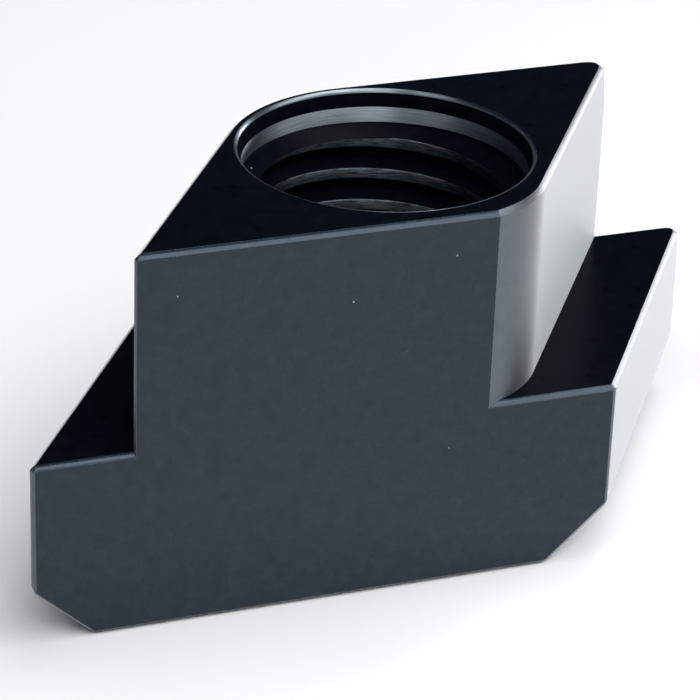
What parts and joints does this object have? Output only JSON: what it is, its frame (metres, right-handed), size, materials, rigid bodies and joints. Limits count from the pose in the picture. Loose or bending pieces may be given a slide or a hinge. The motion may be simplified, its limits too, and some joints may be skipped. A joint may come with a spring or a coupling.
{
  "type": "t slot nut",
  "caption": "Rhombic T-slot nut in blackened steel: a slanted neck on a wider foot, with a threaded through hole. It drops into the slot and turns to lock under the lips.",
  "frame": {"origin": "middle of the bottom face, where the blank is symmetric under a half turn", "axes": "+Z along the threaded hole, the way the stud leaves; +Y along the slot; +X across the slot"},
  "size_m": [0.042, 0.0612, 0.034],
  "materials": {
    "black_oxide_steel": "black oxide on machined steel, satin"
  },
  "bodies": {
    "root": {"t_slot_nut": "black_oxide_steel"}
  },
  "joints": []
}
